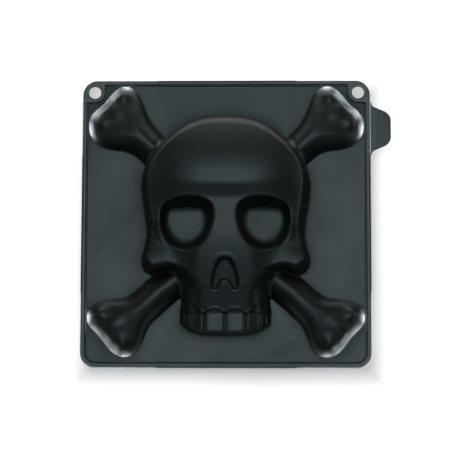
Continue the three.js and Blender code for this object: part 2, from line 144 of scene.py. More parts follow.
# Eyes, nose, gum, teeth and chin
EYE_FLOOR = 24.0
EYE_LIP = 2.5
EYE_BEND = 4.4
EYE_TRIM = 0.8
EYE_BED_TRIM = -0.3
EYE_WALL_LEAST = 3.0
EYE_WALL_TURN = (-1.0, 1.0)
EYE_ROUND = 2.4
NOSE_DEPTH = 2.8
NOSE_START = -0.6
NOSE_WALL = 3.0
NOSE_BEAD = 0.45
NOSE_BEAD_AWAY = 1.6
NOSE_BEAD_SPREAD = 1.2
NOSE_BEAD_MIDDLE = -43.5
NOSE_BEAD_ENDS = (5.0, 11.0)
GUM_LEVEL = -74.0
GUM_EDGE = (-0.5, 0.7)
GUM_BEAD = 0.45
GUM_BEAD_AWAY = 0.9
GUM_BEAD_SPREAD = 0.9
GUM_BEAD_SIDE = (29.0, 25.0)
TOOTH_STEP = 1.2
TOOTH_STEP_INSIDE = (-62.0, -72.0)
TOOTH_CROWN = 0.8
TOOTH_CROWN_POWER = 4
TOOTH_GROOVE_SPREAD = 0.7
CHIN_FOOT = -89.8
CHIN_CURVE = 6.1e-6
CHIN_CURVE_POWER = 4
CHIN_HALF = 36.0
CHIN_DRAFT = 0.074
CHIN_ROUND = 1.6

# Outlines of the left half
SKULL_HALF = [
    (0, 85), (-20.5, 83), (-36.5, 76.2), (-49, 65), (-60.5, 49.5), (-66, 37), (-66.3, 22), (-63.3, 1),
    (-62.6, -12), (-65.5, -25), (-66.6, -30.5), (-65.4, -35.5), (-62.6, -39.4), (-58.8, -41.8),
    (-55, -41.2), (-51, -39.6), (-47, -38.6), (-43, -39), (-39.4, -41.2), (-36.2, -45.4), (-34.2, -50.5),
    (-34, -57), (-35, -67), (-35.5, -78), (-35.5, -100), (-34, -118), (0, -122),
]
UPPER_BONE = [
    (-50.9, 70.2), (-55.4, 74.8), (-59.7, 80), (-63.4, 86.6), (-66.4, 94.2), (-69.3, 101), (-72.4, 105.6),
    (-76.2, 108.6), (-80.7, 109.6), (-85.3, 108.6), (-89.8, 105.3), (-94.3, 99.5), (-98.7, 94.3),
    (-103.9, 90.6), (-107.4, 86.6), (-109.2, 80.6), (-108.9, 73.8), (-107, 68.4), (-102.3, 63.1),
    (-96.3, 60), (-88.9, 58.5), (-81.4, 57.7), (-74.7, 55.5), (-67.3, 49.6), (-52, 36), (-38, 40),
    (-38, 56),
]
LOWER_BONE = [
    (-62, -46), (-66.5, -50.6), (-71.8, -55.2), (-76.4, -58.6), (-84.1, -60.8), (-94.9, -61.5),
    (-101.1, -63.1), (-106.6, -65.4), (-109.7, -69.5), (-110.6, -75), (-109.4, -81.4), (-105.1, -86.1),
    (-99.8, -91.5), (-95.2, -97.7), (-91.2, -102.8), (-85.8, -106.3), (-79.4, -107.8), (-74, -106.3),
    (-69.2, -102.3), (-66.1, -96), (-63, -87.5), (-59.9, -81.3), (-53, -74.8), (-45, -67.2), (-30, -56),
    (-16, -46), (-14, -32), (-30, -22.4), (-46, -34.2),
]
EYE_RIM = [
    (-28, 16.2), (-20.2, 15.4), (-14.2, 13.2), (-10, 9.2), (-8.5, 3.8), (-8.9, -3.1), (-10.4, -9.3),
    (-13.2, -15.8), (-17.6, -21), (-23.2, -24.2), (-29.4, -25.4), (-36.2, -24.4), (-42.6, -21),
    (-47.6, -15.4), (-50.3, -8.5), (-51.2, -1.5), (-50.9, 4.2), (-49.3, 8.8), (-46, 12), (-42, 13.9),
    (-35.7, 15.6),
]
EYE_BED = [
    (-44.6, 7), (-38, 8.6), (-30.5, 9.1), (-23.5, 9), (-16.8, 7.6), (-14.4, 1.4), (-15.2, -7.2),
    (-18.6, -13.6), (-24.4, -18.2), (-31, -19.9), (-37.6, -18.4), (-42.6, -14.2), (-45.8, -7.6),
    (-46.8, -0.6),
]
NOSE_HALF = [
    (0, -30.8), (-3.6, -31.7), (-6.0, -34.3), (-8.5, -38.9), (-10.0, -43.9), (-11.0, -48.9),
    (-11.3, -52.9), (-10.2, -55.5), (-7.6, -56.2), (-5.2, -55.4), (-3.6, -53.1), (-2.3, -50.3),
    (0, -48.5),
]
# Ends of the bones' ridges and the tops of the two knobs at each end
UPPER_SHAFT = [(-44, 48), (-93.5, 92.1)]
LOWER_SHAFT = [(-30, -41), (-94, -87)]
UPPER_KNOBS = [(-82.6, 101.8), (-100.0, 79.4)]
LOWER_KNOBS = [(-99.4, -71.6), (-81.4, -96.2)]
TOOTH_EDGES = [0.0, 16.2, 26.5, 33.0]
TOOTH_GROOVES = [(0.0, 0.25), (16.2, 0.9), (31.6, 1.2)]
TEETH_SIDE = (30.0, 26.0)
GUM_CUSPS = [-74.4, -74.8, -74.2, -76.0]
GUM_BULGES = [3.9, 2.1, 1.2]

# Distances to outlines are kept on grids of this step between two corners, smoothed by a bell of this spread
CELL = 0.5
SPLINE_STEPS = 8
EYE_RIM_STEPS = 6
SKULL_GRID = ((-119, -126), (16, 119), 1.6)
UPPER_BONE_GRID = ((-119, -10), (4, 119), 2.8)
LOWER_BONE_GRID = ((-119, -119), (4, 10), 2.8)
EYE_RIM_GRID = ((-62, -36), (2, 27), 0.6)
EYE_BED_GRID = ((-62, -36), (2, 27), 0.8)
NOSE_GRID = ((-22, -68), (4, -22), 0.35)
RIM_GRID = ((-118, -118), (4, 118), 0.0)
BELL_REACH = 3
FAR = 1e9


def spline_loop(points, steps):
    """A closed cubic spline through the points, with the same number of steps between each two."""
    places = np.array(points, float)
    count = len(places)
    after = np.roll(places, -1, 0)
    gap = np.linalg.norm(after - places, axis=1) ** 0.5
    system = np.zeros((count, count))
    wanted = np.zeros((count, 2))
    for k in range(count):
        before = (k - 1) % count
        behind = 1 / gap[before]
        ahead = 1 / gap[k]
        system[k, before] += behind
        system[k, k] += 2 * (behind + ahead)
        system[k, (k + 1) % count] += ahead
        wanted[k] = 3 * ((places[k] - places[before]) * behind ** 2 + (after[k] - places[k]) * ahead ** 2)
    slopes = np.linalg.solve(system, wanted)
    t = (np.arange(steps) / steps)[None, :, None]
    start, end = places[:, None], after[:, None]
    leave = (slopes * gap[:, None])[:, None]
    arrive = (np.roll(slopes, -1, 0) * gap[:, None])[:, None]
    loop = (
        start * (2 * t ** 3 - 3 * t ** 2 + 1) + leave * (t ** 3 - 2 * t ** 2 + t)
        + end * (3 * t ** 2 - 2 * t ** 3) + arrive * (t ** 3 - t ** 2)
    )
    return loop.reshape(-1, 2)


def both_halves(half):
    """A left half that starts and ends on the middle line, with its mirror image."""
    right = [(-x, y) for x, y in half[-2:0:-1]]
    return list(half) + right


def signed_distance(x, y, loop):
    """Distance to a closed loop, positive inside."""
    nearest = np.full(x.shape, FAR)
    inside = np.zeros(x.shape, bool)
    for a, b in zip(loop, np.roll(loop, -1, 0)):
        edge = b - a
        along = np.clip(((x - a[0]) * edge[0] + (y - a[1]) * edge[1]) / (edge @ edge), 0, 1)
        nearest = np.minimum(nearest, (x - a[0] - along * edge[0]) ** 2 + (y - a[1] - along * edge[1]) ** 2)
        if a[1] != b[1]:
            crosses = (a[1] > y) != (b[1] > y)
            inside ^= crosses & (x < a[0] + (y - a[1]) / edge[1] * edge[0])
    return np.where(inside, 1.0, -1.0) * np.sqrt(nearest)


def blurred(values, cells):
    """The grid smoothed by a bell curve of the given spread in cells."""
    if cells <= 0:
        return values
    reach = int(math.ceil(BELL_REACH * cells))
    shifts = np.arange(-reach, reach + 1)
    weights = np.exp(-0.5 * (shifts / cells) ** 2)
    weights /= weights.sum()
    for axis in (0, 1):
        padding = [(reach, reach) if k == axis else (0, 0) for k in (0, 1)]
        padded = np.pad(values, padding, mode="reflect", reflect_type="odd")
        size = values.shape[axis]
        values = sum(
            weight * np.take(padded, np.arange(size) + reach + shift, axis)
            for weight, shift in zip(weights, shifts)
        )
    return values


def make_field(loop, low, high, spread):
    """Signed distance to a loop on a grid between two corners, smoothed."""
    xs = np.arange(low[0], high[0] + CELL, CELL)
    ys = np.arange(low[1], high[1] + CELL, CELL)
    x, y = np.meshgrid(xs, ys, indexing="ij")
    values = blurred(signed_distance(x, y, loop), spread / CELL)
    return low, values


def read_field(field, x, y):
    """The field's value at places of the left half, between the grid's points."""
    low, values = field
    u = np.clip((-np.abs(x) - low[0]) / CELL, 0, values.shape[0] - 1.001)
    v = np.clip((y - low[1]) / CELL, 0, values.shape[1] - 1.001)
    i = u.astype(int)
    j = v.astype(int)
    fu = u - i
    fv = v - j
    near = values[i, j] * (1 - fv) + values[i, j + 1] * fv
    far = values[i + 1, j] * (1 - fv) + values[i + 1, j + 1] * fv
    return near * (1 - fu) + far * fu


def arc(centre, radius, start, end, steps):
    """Points of an arc, angles in degrees, both ends included."""
    angles = np.radians(np.linspace(start, end, steps + 1))
    return np.stack([centre[0] + radius * np.cos(angles), centre[1] + radius * np.sin(angles)], 1)


def plain_corner(inset, turn, steps):
    """Corner of the rounded square moved in by inset: turn 0 is the upper right one, then anticlockwise."""
    straight = HALF_SIDE - PLATE_CORNER
    signs = [(1, 1), (-1, 1), (-1, -1), (1, -1)][turn]
    centre = (signs[0] * straight, signs[1] * straight)
    return arc(centre, PLATE_CORNER - inset, 90 * turn, 90 * turn + 90, steps)


def eyelet_corner(steps):
    """The upper right corner of the rim's inner edge, which runs square to the rim and round the hole."""
    bend = HALF_SIDE - RIM_WIDTH - BOSS_FILLET
    side = HOLE_AT - BOSS_RADIUS
    below = arc((bend, side - BOSS_FILLET), BOSS_FILLET, 0, 90, steps // 2)
    boss = arc((HOLE_AT, HOLE_AT), BOSS_RADIUS, 270, 180, steps)
    above = arc((side - BOSS_FILLET, bend), BOSS_FILLET, 0, 90, steps // 2)
    return np.concatenate([below, boss, above])


def rim_inner_loop(steps):
    """The rim's inner edge, anticlockwise from the right side."""
    right = eyelet_corner(steps)
    left = right[::-1] * (-1, 1)
    low = [plain_corner(RIM_WIDTH, turn, steps) for turn in (2, 3)]
    return np.concatenate([right, left, *low])


rim_inner = rim_inner_loop(RIM_STEPS)
skull_field = make_field(spline_loop(both_halves(SKULL_HALF), SPLINE_STEPS), *SKULL_GRID)
upper_field = make_field(spline_loop(UPPER_BONE, SPLINE_STEPS), *UPPER_BONE_GRID)
lower_field = make_field(spline_loop(LOWER_BONE, SPLINE_STEPS), *LOWER_BONE_GRID)
eye_field = make_field(spline_loop(EYE_RIM, EYE_RIM_STEPS), *EYE_RIM_GRID)
bed_field = make_field(spline_loop(EYE_BED, SPLINE_STEPS), *EYE_BED_GRID)
nose_field = make_field(spline_loop(both_halves(NOSE_HALF), SPLINE_STEPS), *NOSE_GRID)
edge_field = make_field(rim_inner, *RIM_GRID)


def ease(value, start, end):
    """From 0 at the start to 1 at the end, level at both."""
    t = np.clip((value - start) / (end - start), 0, 1)
    return t ** 3 * (10 - 15 * t + 6 * t * t)


def mix(a, b, t):
    """From a at t = 0 to b at t = 1."""
    return a + (b - a) * t


def soft_max(a, b, width):
    """The larger of two values, rounded where they are nearly the same."""
    t = np.clip(0.5 + 0.5 * (a - b) / width, 0, 1)
    return b + (a - b) * t + width * t * (1 - t) / 2


def soft_min(a, b, width):
    """The smaller of two values, rounded where they are nearly the same."""
    return -soft_max(-a, -b, width)


def soft_ramp(value, width):
    """Zero below, the value above, with a rounded bend between."""
    return 0.5 * (value + np.sqrt(value * value + width * width))


# Least values that keep the mound's divisions sound
MOUND_LEAST = 1e-3
MOUND_STEEP_LEAST = 0.5


def mound(inward, z, top, rounding, power):
    """Near its surface, the distance from a rounded mound that rises from the sheet."""
    height = top - SHEET
    a = np.maximum(rounding - inward, 0) / rounding
    b = np.maximum(z - SHEET, 0) / height
    s = np.maximum((a ** power + b ** power) ** (1 / power), MOUND_LEAST)
    steep = np.sqrt(((a / s) ** (power - 1) / rounding) ** 2 + ((b / s) ** (power - 1) / height) ** 2)
    return (s - 1) / np.maximum(steep, MOUND_STEEP_LEAST / height)


def gum_line(across):
    """Height of the gum line over the teeth, and how far across its tooth each place is, from -1 to 1."""
    line = np.full(across.shape, GUM_CUSPS[-1])
    place = np.ones(across.shape)
    for k, bulge in enumerate(GUM_BULGES):
        start, end = TOOTH_EDGES[k], TOOTH_EDGES[k + 1]
        t = np.clip((across - start) / (end - start), 0, 1)
        here = (across >= start) & (across < end)
        u = 2 * t - 1
        line = np.where(here, mix(GUM_CUSPS[k], GUM_CUSPS[k + 1], t) + bulge * (1 - u * u), line)
        place = np.where(here, u, place)
    return line, place


def teeth_depth(x, y):
    """How far the teeth lie under the gum, with crowned teeth and grooves between them."""
    across = np.abs(x)
    line, place = gum_line(across)
    below = ease(line - y, *GUM_EDGE)
    bead = GUM_BEAD * np.exp(-((y - line - GUM_BEAD_AWAY) / GUM_BEAD_SPREAD) ** 2)
    bead = bead * ease(across, *GUM_BEAD_SIDE)
    crown = TOOTH_CROWN * (1 - place ** TOOTH_CROWN_POWER)
    groove = sum(
        depth * np.exp(-((across - edge) / TOOTH_GROOVE_SPREAD) ** 2) for edge, depth in TOOTH_GROOVES
    )
    return below * ((TOOTH_STEP - crown) * ease(across, *TEETH_SIDE) + groove) - bead


def chin_line(across):
    """Where the chin's foot lies, at a distance from the middle line."""
    return CHIN_FOOT + CHIN_CURVE * np.minimum(across, CHIN_HALF) ** CHIN_CURVE_POWER


def skull_top(across, y):
    """Height of the skull without its recesses, at a distance from the middle line."""
    brow = BROW_LINE + BROW_BEND * across ** 2
    spread = BROW_SPREAD + BROW_WIDEN * across ** 2
    crown = CRANIUM_TOP - CROWN_FALL * np.maximum(y - CROWN_START, 0) ** 2
    upper = mix(crown, FACE_TOP, ease(y, brow + spread, brow - spread))
    upper = np.maximum(upper - CROWN_ARCH * across ** 3 * ease(y, *CROWN_ARCH_ZONE), CROWN_LEAST)
    upper = upper - CHEEK_DROP * ease(y, *CHEEK_DROP_DOWN) * ease(across, *CHEEK_DROP_OUT)
    fall_start = mix(FACE_FALL_MIDDLE, FACE_FALL_SIDE, ease(across, *FACE_FALL_OUT))
    way_down = np.clip((y - fall_start) / (GUM_LEVEL - fall_start), 0, 1) ** FACE_FALL_POWER
    top = mix(mix(upper, JAW_TOP, way_down), CHIN_TOP, ease(y, GUM_LEVEL, CHIN_LEVEL))
    return top - JAW_SIDE_FALL * np.maximum(across - JAW_SIDE_START, 0) ** 2 * ease(y, *JAW_SIDE_ZONE)


def skull_rounding(across, y):
    """Width of the rounded shoulder inside the skull's outline."""
    upper = mix(CRANIUM_ROUND, FACE_ROUND, ease(y, *FACE_ROUND_ZONE))
    upper = mix(upper, CROWN_ROUND, ease(y, *CROWN_ROUND_ZONE))
    upper = mix(upper, CHEEK_ROUND, ease(y, *CHEEK_ROUND_ZONE))
    lower = mix(JAW_ROUND, TEETH_ROUND, ease(y, *TEETH_ROUND_ZONE))
    rounding = mix(upper, lower, ease(y, *JAW_ROUND_ZONE))
    from_notch = np.hypot(across - NOTCH[0], y - NOTCH[1])
    return mix(rounding, NOTCH_ROUND, ease(from_notch, *NOTCH_REACH))


def eye_pocket(x, y, z, top):
    """Distance from the wall and the floor of an eye's pocket."""
    from_rim = read_field(eye_field, x, y) - EYE_TRIM
    from_bed = EYE_BED_TRIM - read_field(bed_field, x, y)
    steep = (top - EYE_FLOOR - EYE_LIP) / np.maximum(from_rim + from_bed, EYE_WALL_LEAST)
    pocket = EYE_FLOOR + soft_ramp(from_bed * steep, EYE_BEND)
    return (z - pocket) / np.sqrt(1 + steep * steep * ease(from_bed, *EYE_WALL_TURN))


def skull(x, y, z):
    """Distances from the skull's face and from the plainer form that its inside follows."""
    across = np.abs(x)
    top = skull_top(across, y)
    form = mound(read_field(skull_field, x, y), z, top, skull_rounding(across, y), SKULL_POWER)
    nose = read_field(nose_field, x, y)
    bead = NOSE_BEAD * np.exp(-((nose + NOSE_BEAD_AWAY) / NOSE_BEAD_SPREAD) ** 2)
    bead = bead * ease(np.abs(y - NOSE_BEAD_MIDDLE), *NOSE_BEAD_ENDS)
    recess = NOSE_DEPTH * ease(nose, NOSE_START, NOSE_WALL) - bead
    pocket = eye_pocket(x, y, z, top)
    chin = chin_line(across) + CHIN_DRAFT * (z - SHEET)
    outer = soft_max(form + recess + teeth_depth(x, y), pocket, EYE_ROUND)
    wide_recess = NOSE_DEPTH * ease(nose, NOSE_START - WALL, NOSE_WALL - WALL)
    wide_recess = wide_recess + TOOTH_STEP * ease(y, *TOOTH_STEP_INSIDE)
    inner = soft_max(form + wide_recess, pocket, EYE_ROUND)
    return soft_max(outer, chin - y, CHIN_ROUND), soft_max(inner, chin - y, CHIN_ROUND)


def bone(field, shaft, knobs, widen, x, y, z):
    """A bone: a round shaft that runs out into an end with a ridge, two knobs and a sloping foot."""
    left = -np.abs(x)
    inward = read_field(field, x, y)
    (start_x, start_y), (end_x, end_y) = shaft
    run_x, run_y = end_x - start_x, end_y - start_y
    along = np.clip(((left - start_x) * run_x + (y - start_y) * run_y) / (run_x ** 2 + run_y ** 2), 0, 1)
    aside = (left - start_x - along * run_x) ** 2 + (y - start_y - along * run_y) ** 2
    inward = inward + widen * ease(along, *BONE_END_START)
    fade = np.exp(-np.maximum(inward, 0) / BONE_FOOT_REACH)
    slope = BONE_END_SLOPE + BONE_FOOT_RISE / BONE_FOOT_REACH * fade
    surface = SHEET + BONE_FOOT_RISE * (1 - fade) + BONE_END_SLOPE * np.maximum(inward, 0)
    surface = surface + slope * np.minimum(inward, 0)
    bumps = BONE_RIDGE_RISE * np.exp(-aside / (2 * BONE_RIDGE_SPREAD ** 2)) * ease(along, *BONE_RIDGE_START)
    for knob_x, knob_y in knobs:
        away = (left - knob_x) ** 2 + (y - knob_y) ** 2
        bumps = bumps + KNOB_RISE * np.exp(-away / (2 * KNOB_SPREAD ** 2))
    surface = surface + bumps * ease(inward, *BUMP_START)
    end = (z - surface) / np.sqrt(1 + slope * slope)
    shaft_top = mix(SHAFT_TOP, BONE_END_TOP, ease(along, *SHAFT_FALL))
    round_shaft = mound(inward, z, shaft_top, SHAFT_ROUND, SHAFT_POWER)
    return mix(round_shaft, end, ease(along, *BONE_END_START))


def relief(x, y, z):
    """The skull over the crossed bones, without the sheet: outside and inside."""
    upper = bone(upper_field, UPPER_SHAFT, UPPER_KNOBS, UPPER_END_WIDEN, x, y, z)
    lower = bone(lower_field, LOWER_SHAFT, LOWER_KNOBS, LOWER_END_WIDEN, x, y, z)
    bones = np.minimum(upper, lower)
    return [soft_min(form, bones, BONE_FILLET) for form in skull(x, y, z)]


def skin(x, y, z):
    """The whole moulded sheet: negative inside the silicone."""
    form, hollow = relief(x, y, z)
    inward = np.minimum(read_field(skull_field, x, y), y - chin_line(np.abs(x)))
    inward = np.maximum(inward, np.maximum(read_field(upper_field, x, y), read_field(lower_field, x, y)))
    lift = SHEET_LIFT * np.exp(np.minimum(inward, 0) / LIFT_REACH)
    outer = soft_min(form, z - SHEET - lift, FOOT_FILLET)
    solid = soft_max(outer, -(hollow + WALL), HOLLOW_FILLET)
    solid = soft_max(solid, -z, UNDERSIDE_FILLET)
    return soft_max(solid, GROOVE - read_field(edge_field, x, y), GROOVE_FILLET)


# Grid that the skin is meshed on, and how the mesh is brought onto the surface
MESH_STEP = 0.9
MESH_LOW = -1.3
MESH_MARGIN = 2.0
GRADIENT_STEP = 0.5
SLOPE_LEAST = 0.1
LONGEST_MOVE = 0.5 * MESH_STEP
SHORTEST_MOVE = 1e-9
SETTLE_ROUNDS = 2
RELAX_SHARE = 0.5


def gradient(places):
    """Slope of the skin's field at each place."""
    parts = []
    for axis in range(3):
        shift = np.zeros(3)
        shift[axis] = GRADIENT_STEP
        ahead = skin(*(places + shift).T)
        behind = skin(*(places - shift).T)
        parts.append((ahead - behind) / (2 * GRADIENT_STEP))
    return np.stack(parts, 1)


def settle(places):
    """Moves the places onto the surface of the skin."""
    for _ in range(SETTLE_ROUNDS):
        slope = gradient(places)
        move = -skin(*places.T)[:, None] * slope / np.maximum((slope ** 2).sum(1), SLOPE_LEAST)[:, None]
        size = np.linalg.norm(move, axis=1, keepdims=True)
        places = places + move * np.minimum(1, LONGEST_MOVE / np.maximum(size, SHORTEST_MOVE))
    return places


def net_surface():
    """Quads around the places where the skin's field changes sign on the grid."""
    steps = int(math.ceil((HALF_SIDE - MESH_MARGIN) / MESH_STEP))
    xs = np.arange(-steps, steps + 1) * MESH_STEP
    zs = np.arange(MESH_LOW, CRANIUM_TOP + MESH_MARGIN, MESH_STEP)
    left = skin(xs[: steps + 1, None, None], xs[None, :, None], zs[None, None, :])
    values = np.concatenate([left, left[-2::-1]], 0)
    inside = values < 0
    counts = np.zeros(np.array(values.shape) - 1, np.int8)
    corners = [(i, j, k) for i in (0, 1) for j in (0, 1) for k in (0, 1)]
    sizes = counts.shape

    def shifted(array, offset, shape=sizes):
        return array[tuple(slice(o, o + n) for o, n in zip(offset, shape))]

    for corner in corners:
        counts += shifted(inside, corner)
    cells = np.argwhere((counts > 0) & (counts < 8))
    numbers = np.full(sizes, -1, np.int64)
    numbers[tuple(cells.T)] = np.arange(len(cells))
    total = np.zeros((len(cells), 3))
    found = np.zeros(len(cells))
    for axis in range(3):
        step = np.eye(3, dtype=int)[axis]
        for corner in corners:
            if corner[axis]:
                continue
            start = cells + corner
            a = values[tuple(start.T)]
            b = values[tuple((start + step).T)]
            crossing = (a < 0) != (b < 0)
            share = np.where(crossing, a / np.where(crossing, a - b, 1), 0)
            total += crossing[:, None] * (start + share[:, None] * step)
            found += crossing
    places = total / found[:, None] * MESH_STEP + np.array([xs[0], xs[0], zs[0]])
    quads = []
    for axis in range(3):
        step = np.eye(3, dtype=int)[axis]
        one = np.eye(3, dtype=int)[(axis + 1) % 3]
        two = np.eye(3, dtype=int)[(axis + 2) % 3]
        shape = tuple(np.array(values.shape) - step)
        a = shifted(inside, (0, 0, 0), shape)
        b = shifted(inside, step, shape)
        edges = np.argwhere(a != b)
        leaving = a[tuple(edges.T)]
        around = [edges - one - two, edges - two, edges, edges - one]
        quad = np.stack([numbers[tuple(c.T)] for c in around], 1)
        quads.append(np.where(leaving[:, None], quad, quad[:, ::-1]))
    return places, np.concatenate(quads)


def relax(places, quads):
    """Evens out the quads: each place moves along the surface towards the middle of its neighbours."""
    total = np.zeros_like(places)
    met = np.zeros(len(places))
    for k in range(4):
        np.add.at(total, quads[:, k], places[quads[:, (k + 1) % 4]])
        np.add.at(total, quads[:, (k + 1) % 4], places[quads[:, k]])
        np.add.at(met, quads[:, k], 1)
        np.add.at(met, quads[:, (k + 1) % 4], 1)
    move = total / met[:, None] - places
    slope = gradient(places)
    normal = slope / np.linalg.norm(slope, axis=1, keepdims=True)
    move -= normal * (move * normal).sum(1, keepdims=True)
    return places + RELAX_SHARE * move


def to_row(places):
    """Millimetres about the sheet's middle, as metres in the row frame."""
    return np.asarray(places, float) * MM + np.array([MIDDLE_X, MIDDLE_Y, 0])


def new_object(name, mesh):
    """An object in the scene that shows the mesh."""
    piece = bpy.data.objects.new(name, mesh)
    bpy.context.collection.objects.link(piece)
    return piece


def mesh_object(name, places, faces):
    """A smooth object from places in millimetres."""
    mesh = bpy.data.meshes.new(name)
    mesh.from_pydata(to_row(places).tolist(), [], [tuple(face) for face in np.asarray(faces).tolist()])
    mesh.validate()
    mesh.polygons.foreach_set("use_smooth", [True] * len(mesh.polygons))
    return new_object(name, mesh)


def make_skin():
    """The moulded sheet as one closed mesh, shaded by the slope of its field."""
    places, quads = net_surface()
    places = settle(places)
    places = settle(relax(places, quads))
    skin_object = mesh_object("moulded_skin", places, quads)
    slope = gradient(places)
    normals = slope / np.linalg.norm(slope, axis=1, keepdims=True)
    skin_object.data.normals_split_custom_set_from_vertices(normals.tolist())
    return skin_object


# Rim ring with the eyelet bosses
RIM_ROUND = 0.55
RIM_FOOT_ROUND = 0.4
HOLE_ROUND = 0.3
LIP_REACH = 1.3
LIP_TOP = 0.9
LIP_FOOT = 0.1
ROUND_STEPS = 4
RIM_SHARP = math.radians(50)


def loop_normals(loop):
    """Directions to the left of travel along a closed loop."""
    along = np.roll(loop, -1, 0) - np.roll(loop, 1, 0)
    along /= np.linalg.norm(along, axis=1, keepdims=True)
    return np.stack([-along[:, 1], along[:, 0]], 1)


def rounded_top(rounding):
    """Inset and height of the rings of a rounded upper edge."""
    angles = np.linspace(0, math.pi / 2, ROUND_STEPS + 1)
    return [(rounding * (1 - math.cos(a)), RIM_TOP - rounding * (1 - math.sin(a))) for a in angles]


def make_rim():
    """The ring is lofted between its edges, each edge a stack of rings, and its top and foot are filled."""
    outer_loop = np.concatenate([plain_corner(0, turn, RIM_STEPS) for turn in range(4)])
    hole = arc((HOLE_AT, HOLE_AT), HOLE_RADIUS, 360, 0, HOLE_STEPS)[:-1]
    foot = [(RIM_FOOT_ROUND, 0), (0, RIM_FOOT_ROUND)]
    lip = [(0, 0), (0, LIP_FOOT), (-LIP_REACH, LIP_FOOT), (-LIP_REACH, LIP_TOP), (0, LIP_TOP)]
    edges = [
        (outer_loop, foot + rounded_top(RIM_ROUND)),
        (rim_inner[::-1], lip + rounded_top(RIM_ROUND)),
        (hole, foot + rounded_top(HOLE_ROUND)),
        ((hole * (-1, 1))[::-1], foot + rounded_top(HOLE_ROUND)),
    ]
    shape = bmesh.new()
    caps = {0: [], -1: []}
    for loop, rings in edges:
        inwards = loop_normals(loop)
        rows = []
        for inset, z in rings:
            places = np.column_stack([loop + inwards * inset, np.full(len(loop), z)])
            rows.append([shape.verts.new(p) for p in to_row(places)])
        count = len(loop)
        for low, high in zip(rows, rows[1:]):
            for k in range(count):
                after = (k + 1) % count
                shape.faces.new((low[k], low[after], high[after], high[k]))
        for end in caps:
            row = rows[end]
            caps[end] += [shape.edges.get((row[k], row[(k + 1) % count])) for k in range(count)]
    for ring_edges in caps.values():
        bmesh.ops.triangle_fill(shape, use_beauty=True, use_dissolve=False, edges=ring_edges)
    bmesh.ops.recalc_face_normals(shape, faces=shape.faces)
    mesh = bpy.data.meshes.new("rim_ring")
    shape.to_mesh(mesh)
    shape.free()
    mesh.polygons.foreach_set("use_smooth", [True] * len(mesh.polygons))
    ring = new_object("rim_ring", mesh)
    mesh.set_sharp_from_angle(angle=RIM_SHARP)
    return ring


# Pull tab
tab_low, tab_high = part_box("pull_tab")
TAB_TIP = (tab_high.x - MIDDLE_X) / MM
TAB_MIDDLE = ((tab_low.y + tab_high.y) / 2 - MIDDLE_Y) / MM
TAB_ROOT = (tab_high.y - tab_low.y) / MM
TAB_END = 24.0
TAB_FILLET = 3.6
TAB_ROUND = 5.0
TAB_TOP = 2.6
TAB_FOOT = 0.4
TAB_EMBED = 1.4
TAB_EDGE = 0.8
TAB_FINE = 4.0
TAB_FINE_ROWS = 16
TAB_ROWS = 14
TAB_COLUMNS = 41
TAB_MERGE = 0.02 * MM


def tab_half_width(x):
    """Half of the tab's width at a place between its root and its tip."""
    root = HALF_SIDE
    corner_y = TAB_ROOT / 2 - TAB_FILLET
    lean = (TAB_END / 2 - corner_y) / (TAB_TIP - root)
    side = corner_y + (x - root) * lean
    fillet = np.clip(1 - (x - root) / TAB_FILLET, 0, None) ** 2 * TAB_FILLET
    past = np.clip(x - (TAB_TIP - TAB_ROUND), 0, TAB_ROUND)
    tip = TAB_ROUND - np.sqrt(np.maximum(TAB_ROUND ** 2 - past ** 2, 0))
    return side + fillet - tip


def make_tab():
    """A thin pad with rounded edges, whose root runs on into the rim."""
    along = np.concatenate([
        np.linspace(HALF_SIDE - TAB_EMBED, HALF_SIDE + TAB_FINE, TAB_FINE_ROWS)[:-1],
        np.linspace(HALF_SIDE + TAB_FINE, TAB_TIP - TAB_ROUND, TAB_ROWS)[:-1],
        TAB_TIP - TAB_ROUND + TAB_ROUND * np.sin(np.linspace(0, math.pi / 2, TAB_ROWS)),
    ])
    across = np.sin(np.linspace(-math.pi / 2, math.pi / 2, TAB_COLUMNS))
    x = np.repeat(along[:, None], len(across), 1)
    half = tab_half_width(np.maximum(along, HALF_SIDE))[:, None]
    y = TAB_MIDDLE + half * across[None, :]
    from_side = half * (1 - np.abs(across))[None, :]
    from_tip = (TAB_TIP - along)[:, None] + 0 * from_side
    edge = np.minimum(from_side, from_tip)
    left = np.clip(1 - edge / TAB_EDGE, 0, 1)
    swell = np.sqrt(1 - left ** 2)
    middle = (TAB_TOP + TAB_FOOT) / 2
    thick = (TAB_TOP - TAB_FOOT) / 2 * swell
    rows, columns = x.shape
    top = np.stack([x, y, middle + thick], 2).reshape(-1, 3)
    foot = np.stack([x, y, middle - thick], 2).reshape(-1, 3)
    index = np.arange(rows * columns).reshape(rows, columns)
    quads = np.stack([index[:-1, :-1], index[1:, :-1], index[1:, 1:], index[:-1, 1:]], 2).reshape(-1, 4)
    faces = np.concatenate([quads, quads[:, ::-1] + rows * columns])
    root = index[0]
    ends = np.stack([root[:-1], root[1:], root[1:] + rows * columns, root[:-1] + rows * columns], 1)
    tab = mesh_object("grip_tab", np.concatenate([top, foot]), np.concatenate([faces, ends]))
    shape = bmesh.new()
    shape.from_mesh(tab.data)
    bmesh.ops.remove_doubles(shape, verts=shape.verts, dist=TAB_MERGE)
    bmesh.ops.recalc_face_normals(shape, faces=shape.faces)
    shape.to_mesh(tab.data)
    shape.free()
    return tab


